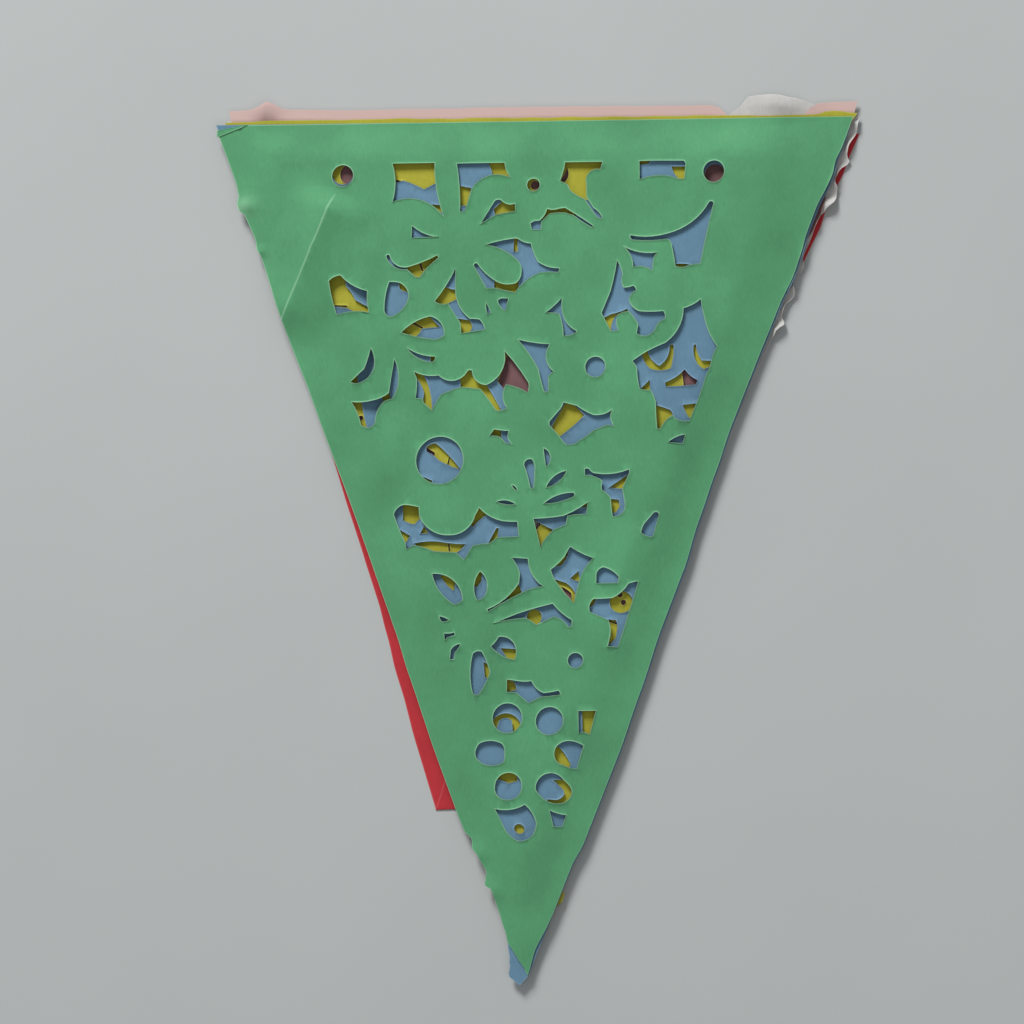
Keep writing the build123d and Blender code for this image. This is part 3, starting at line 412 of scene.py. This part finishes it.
def add_rim(bm):
    """A narrow band along every cut edge, marked in the rim attribute: 1 on the edge, 0 inside."""
    rim = bm.verts.layers.float.new("rim")
    level = min(vertex.co.z for vertex in bm.verts) + SLIVER
    band = bmesh.ops.inset_region(
        bm, faces=bm.faces[:], thickness=RIM_WIDTH, use_boundary=True, use_even_offset=False,
    )
    band_faces = set(band["faces"])
    for _ in range(MENDING_ROUNDS):
        bm.normal_update()
        flat = [face for face in bm.faces if max(vertex.co.z for vertex in face.verts) < level]
        turned = [face for face in flat if face.normal.z < 0]
        join_over_longest_edge(bm, turned)
        joined = [face for face in bm.faces if len(face.verts) > 3 and face not in band_faces]
        bmesh.ops.triangulate(bm, faces=joined)
        print("turned faces mended:", len(turned))
    for vertex in bm.verts:
        vertex[rim] = 1.0 if vertex.is_boundary else 0.0
    return rim


def slice_skin(bm, point, normal):
    """New edges where a plane meets the skin, which stays whole."""
    geometry = bm.verts[:] + bm.edges[:] + bm.faces[:]
    bmesh.ops.bisect_plane(bm, geom=geometry, dist=SLICE_REACH, plane_co=point, plane_no=normal)


def slice_grid(bm, colour):
    """Slices in both directions, so that the sheet can bend, and finer ones where it is crumpled."""
    place = places[colour]
    down = Vector((*place.down, 0))
    for direction in (Vector((*place.across, 0)), down):
        reaches = [vertex.co.dot(direction) for vertex in bm.verts]
        low = min(reaches)
        high = max(reaches)
        count = int((high - low) / GRID)
        for step in range(1, count + 1):
            slice_skin(bm, direction * (low + step * (high - low) / (count + 1)), direction)
    for start, end in FINE_BANDS.get(colour, []):
        for step in range(int((end - start) / FINE_STEP)):
            depth = (start + step * FINE_STEP) * mm
            slice_skin(bm, Vector((*place.middle, 0)) + down * depth, down)
    if colour == "green":
        start, end = [Vector(point) for point in CREASE]
        run = (end - start).normalized()
        side = Vector((*(place.across * run.y - place.down * run.x), 0))
        first = Vector((*(place.middle + (place.across * start.x + place.down * start.y) * mm), 0))
        for offset in (-CREASE_HALF_WIDTH, 0, CREASE_HALF_WIDTH):
            slice_skin(bm, first + side * offset * mm, side)
    bmesh.ops.triangulate(bm, faces=[face for face in bm.faces if len(face.verts) > 4])


# %% [markdown]
# ## Bending, thickness and shading
# Each point first moves within the table's plane, as its border strays, and is then lifted by the height of
# the air below it. Points on a cut edge inside the sheet are lifted a little more, since a chisel or a punch
# leaves a small curled lip. The sheet's outline and what is folded over have none. A second attribute marks
# the places that are drawn paler. On the green sheet these are a thin line along its sharpest crease and a
# spot at its crumpled nick. On the pink sheet it is the top band, which is painted light against the painted
# shade of the rest of that sheet.


# %% Bend a sheet and give it thickness
def bend(bm, colour, rim):
    pale_marks_and_painted_light = bm.verts.layers.float.new("pale_marks_and_painted_light")
    place = places[colour]
    base = min(vertex.co.z for vertex in bm.verts)
    for vertex in bm.verts:
        u, v = place.local(vertex.co.x, vertex.co.y)
        push, rise = border_push(colour, u, v)
        move = place.across * push * mm - place.down * rise * mm
        vertex.co.x += move.x
        vertex.co.y += move.y
        lift = vertex.co.z - base
        inside = min(v, half_width(v) - abs(u)) > OUTLINE
        lip = LIP * vertex[rim] if lift < SLIVER and inside else 0.0
        vertex.co.z = base + lift * FOLD_SHARE + height(colour, vertex.co.x, vertex.co.y) + lip
        if colour == "green":
            vertex[pale_marks_and_painted_light] = max(
                0.0,
                smooth(2 * ridge(u, v, *CREASE, CREASE_HALF_WIDTH)),
                0.6 * hump(u, v, NICK, 4, 3),
            )
        # The pink sheet's top band is painted light, paler than the painted shade of the rest of the sheet.
        if colour == "pink":
            vertex[pale_marks_and_painted_light] = smooth((7 - v) / 5)


def make_sheet(colour):
    """The finished pennant of one colour, as an object at the origin."""
    bm = upper_skin(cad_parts["pennant_" + colour])
    rim = add_rim(bm)
    slice_grid(bm, colour)
    bend(bm, colour, rim)
    bm.normal_update()
    mesh = bpy.data.meshes.new(colour + "_skin")
    bm.to_mesh(mesh)
    bm.free()
    sheet = bpy.data.objects.new(colour + "_sheet", mesh)
    bpy.context.scene.collection.objects.link(sheet)
    thickness = sheet.modifiers.new("paper thickness", "SOLIDIFY")
    thickness.thickness = PAPER_THICKNESS
    thickness.offset = -1
    bpy.context.view_layer.update()
    solid = bpy.data.meshes.new_from_object(sheet.evaluated_get(bpy.context.evaluated_depsgraph_get()))
    sheet.modifiers.clear()
    sheet.data = solid
    solid.name = colour + "_sheet"
    bpy.data.meshes.remove(mesh)
    solid.shade_smooth()
    solid.set_sharp_from_angle(angle=SHARP)
    return sheet


sheets = {colour: make_sheet(colour) for colour in STACK}
for colour in STACK:
    mesh = sheets[colour].data
    heights = [vertex.co.z / mm for vertex in mesh.vertices]
    lowest, highest = round(min(heights), 2), round(max(heights), 2)
    print(colour, len(mesh.polygons), "faces, from", lowest, "to", highest, "mm")

# %% [markdown]
# ## Coloured tissue paper
# The paper is dyed through, so both sides have the same colour. Close up it isn't even: soft clouds where
# the dye took more or less, and short fibres that lie every way. A paler fringe runs along every cut. It
# stands for the fibres that the cut has raised, and it is also a painted highlight of the light that the cut
# edges catch. It is matt, with a faint sheen. The colour comes from noise on Object coordinates, which stay
# with the sheet, and the same fibres feed the bump, so that light and colour agree.


# %% Paper material
def paper(name, colour, pale, mark_paling=0.35, fibre_depth=0.09):
    """Dyed tissue paper. colour is its body colour, and pale is the colour of its paler cut fringe, which is
    partly a painted highlight, and of its pale marks. Both are linear.
    """
    material = bpy.data.materials.new(name)
    material.use_nodes = True
    nodes = material.node_tree.nodes
    link = material.node_tree.links.new
    shader = nodes["Principled BSDF"]
    shader.inputs["Roughness"].default_value = 0.82
    shader.inputs["Specular IOR Level"].default_value = 0.28
    shader.inputs["Sheen Weight"].default_value = 0.06
    shader.inputs["Sheen Roughness"].default_value = 0.6

    place = nodes.new("ShaderNodeTexCoord")
    clouds = nodes.new("ShaderNodeTexNoise")
    clouds.inputs["Scale"].default_value = 55
    clouds.inputs["Detail"].default_value = 3
    link(place.outputs["Object"], clouds.inputs["Vector"])
    stretch = nodes.new("ShaderNodeMapping")
    stretch.inputs["Scale"].default_value = (1.0, 0.35, 1.0)
    stretch.inputs["Rotation"].default_value = (0.0, 0.0, 0.5)
    link(place.outputs["Object"], stretch.inputs["Vector"])
    fibres = nodes.new("ShaderNodeTexNoise")
    fibres.inputs["Scale"].default_value = 1500
    fibres.inputs["Detail"].default_value = 4
    fibres.inputs["Distortion"].default_value = 0.6
    link(stretch.outputs["Vector"], fibres.inputs["Vector"])

    dye = nodes.new("ShaderNodeValToRGB")
    dye.color_ramp.elements[0].position = 0.30
    dye.color_ramp.elements[0].color = (*[c * 0.90 for c in colour], 1)
    dye.color_ramp.elements[1].position = 0.70
    dye.color_ramp.elements[1].color = (*[min(1.0, c * 1.10) for c in colour], 1)
    link(clouds.outputs["Fac"], dye.inputs["Fac"])
    speck = nodes.new("ShaderNodeMix")
    speck.data_type = "RGBA"
    speck.blend_type = "MULTIPLY"
    speck.inputs["Factor"].default_value = 0.22
    link(dye.outputs["Color"], speck.inputs["A"])
    link(fibres.outputs["Fac"], speck.inputs["B"])

    rim = nodes.new("ShaderNodeAttribute")
    rim.attribute_name = "rim"
    pale_marks_and_painted_light = nodes.new("ShaderNodeAttribute")
    pale_marks_and_painted_light.attribute_name = "pale_marks_and_painted_light"
    # The fringe pales every cut edge. It stands for the fibres raised by the cut, and it is also a painted
    # highlight where the edge catches the light.
    fringe = nodes.new("ShaderNodeMath")
    fringe.operation = "MULTIPLY_ADD"
    fringe.inputs[1].default_value = 0.5
    link(rim.outputs["Fac"], fringe.inputs[0])
    marks_paled = nodes.new("ShaderNodeMath")
    marks_paled.operation = "MULTIPLY"
    marks_paled.inputs[1].default_value = mark_paling
    link(pale_marks_and_painted_light.outputs["Fac"], marks_paled.inputs[0])
    link(marks_paled.outputs["Value"], fringe.inputs[2])
    paled = nodes.new("ShaderNodeMix")
    paled.data_type = "RGBA"
    link(fringe.outputs["Value"], paled.inputs["Factor"])
    link(speck.outputs["Result"], paled.inputs["A"])
    paled.inputs["B"].default_value = (*pale, 1)
    link(paled.outputs["Result"], shader.inputs["Base Color"])

    wrinkles = nodes.new("ShaderNodeTexNoise")
    wrinkles.noise_type = "RIDGED_MULTIFRACTAL"
    wrinkles.inputs["Scale"].default_value = 90
    wrinkles.inputs["Detail"].default_value = 3
    link(place.outputs["Object"], wrinkles.inputs["Vector"])
    soft_bump = nodes.new("ShaderNodeBump")
    soft_bump.inputs["Strength"].default_value = 0.10
    soft_bump.inputs["Distance"].default_value = 0.3 * mm
    link(wrinkles.outputs["Fac"], soft_bump.inputs["Height"])
    fibre_bump = nodes.new("ShaderNodeBump")
    fibre_bump.inputs["Strength"].default_value = 0.35
    fibre_bump.inputs["Distance"].default_value = fibre_depth * mm
    link(fibres.outputs["Fac"], fibre_bump.inputs["Height"])
    link(soft_bump.outputs["Normal"], fibre_bump.inputs["Normal"])
    link(fibre_bump.outputs["Normal"], shader.inputs["Normal"])
    return material


def linear(red, green, blue):
    """A colour given on the 0 to 255 display scale, as the shader wants it."""
    parts = [part / 255 for part in (red, green, blue)]
    return tuple(p / 12.92 if p <= 0.04045 else ((p + 0.055) / 1.055) ** 2.4 for p in parts)


PAPERS = {
    "green": paper("green tissue paper", linear(95, 171, 121), linear(192, 236, 200)),
    "blue": paper("blue tissue paper", linear(113, 154, 181), linear(160, 193, 216)),
    "yellow": paper("yellow tissue paper", linear(190, 186, 60), linear(228, 222, 124)),
    # The pink paper's colour is darkened into painted shade, the shade it lies in under the sheets above.
    # Its pale colour paints the lit look of its top band.
    "pink": paper("pink tissue paper with painted shade and light", linear(137, 99, 101), linear(221, 190, 183), mark_paling=0.95),
    "white": paper("white tissue paper", linear(214, 212, 208), linear(236, 235, 232)),
    "red": paper("red tissue paper", linear(206, 54, 62), linear(232, 124, 128)),
}
for colour in STACK:
    sheets[colour].data.materials.append(PAPERS[colour])
print("papers:", [material.name for material in PAPERS.values()])

# %% [markdown]
# ## What each sheet stands for
# Every sheet rides on the model's one body and takes the place of its flat solid.


for index, colour in enumerate(STACK):
    sheet = sheets[colour]
    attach(sheet, "root")
    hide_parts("pennant_" + colour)

# %% [markdown]
# ## The table, the light and the camera
# A pale matt floor lies just under the stack. A soft window-like light stands beyond the top edge and a
# little to the left. It gives the waves their bright and dark sides and the cuts their thin shadows. A weak
# light from the other side and a pale sky fill the rest. The camera stands far off, a little to the right of
# and below the stack's middle, looking down on it.

# %% Floor
floor_mesh = bpy.data.meshes.new("floor")
bm = bmesh.new()
bmesh.ops.create_grid(bm, x_segments=1, y_segments=1, size=30.0)
bm.to_mesh(floor_mesh)
bm.free()
floor = bpy.data.objects.new("floor", floor_mesh)
bpy.context.scene.collection.objects.link(floor)
floor_paint = bpy.data.materials.new("pale floor")
floor_paint.use_nodes = True
floor_nodes = floor_paint.node_tree.nodes
floor_shader = floor_nodes["Principled BSDF"]
floor_shader.inputs["Roughness"].default_value = 0.9
floor_shader.inputs["Specular IOR Level"].default_value = 0.2
floor_place = floor_nodes.new("ShaderNodeTexCoord")
floor_cloud = floor_nodes.new("ShaderNodeTexNoise")
floor_cloud.inputs["Scale"].default_value = 9
floor_tone = floor_nodes.new("ShaderNodeValToRGB")
floor_tone.color_ramp.elements[0].color = (*linear(192, 196, 195), 1)
floor_tone.color_ramp.elements[1].color = (*linear(200, 204, 203), 1)
floor_links = floor_paint.node_tree.links
floor_links.new(floor_place.outputs["Object"], floor_cloud.inputs["Vector"])
floor_links.new(floor_cloud.outputs["Fac"], floor_tone.inputs["Fac"])
floor_links.new(floor_tone.outputs["Color"], floor_shader.inputs["Base Color"])
floor_mesh.materials.append(floor_paint)
print("floor at z =", floor.location.z)

# %% Lights
scene = bpy.context.scene
scene.view_settings.view_transform = "Standard"


def area_light(name, direction, distance, size, power):
    """A square light that looks at the stack from a direction."""
    data = bpy.data.lights.new(name, "AREA")
    data.shape = "SQUARE"
    data.size = size
    data.energy = power
    light = bpy.data.objects.new(name, data)
    light.location = Vector(direction).normalized() * distance
    light.rotation_mode = "QUATERNION"
    light.rotation_quaternion = light.location.to_track_quat("Z", "Y")
    light.visible_camera = False
    scene.collection.objects.link(light)
    return light


area_light("window", direction=(-0.34, 0.94, 0.62), distance=2.4, size=0.8, power=54)
area_light("room", direction=(0.6, -0.8, 1.1), distance=3.0, size=2.0, power=9)
world = bpy.data.worlds.new("pale room")
world.use_nodes = True
world.node_tree.nodes["Background"].inputs["Color"].default_value = (0.96, 0.98, 1.0, 1)
world.node_tree.nodes["Background"].inputs["Strength"].default_value = 0.25
scene.world = world

# %% Camera
VIEW_FROM = Vector((0.19810, -0.13938, 0.97019)).normalized()  # the direction from the stack to the camera
ROLL = radians(1.165)
VIEW_WIDTH = 0.3284  # metres across the view, at the stack
DISTANCE = 6.01  # metres
AIM_LEFT = 4.81 * mm  # of the middle of the green sheet's top edge
AIM_DOWN = 127.37 * mm  # from that edge
AIM_HEIGHT = 4.0 * mm
top_middle = places["green"].middle
aim = Vector((top_middle.x - AIM_LEFT, top_middle.y - AIM_DOWN, AIM_HEIGHT))
right = Vector((0, 1, 0)).cross(VIEW_FROM).normalized()
up = VIEW_FROM.cross(right)
turned = Matrix.Rotation(ROLL, 3, VIEW_FROM)
axes = Matrix((turned @ right, turned @ up, VIEW_FROM)).transposed()
camera_data = bpy.data.cameras.new("camera")
camera_data.lens = camera_data.sensor_width * DISTANCE / VIEW_WIDTH
camera_data.clip_start = 0.1
camera_data.clip_end = 60.0
camera = bpy.data.objects.new("camera", camera_data)
camera.matrix_world = Matrix.Translation(aim + VIEW_FROM * DISTANCE) @ axes.to_4x4()
scene.collection.objects.link(camera)
scene.camera = camera
print("camera at", [round(v, 3) for v in camera.location], "lens", round(camera_data.lens, 1), "mm")
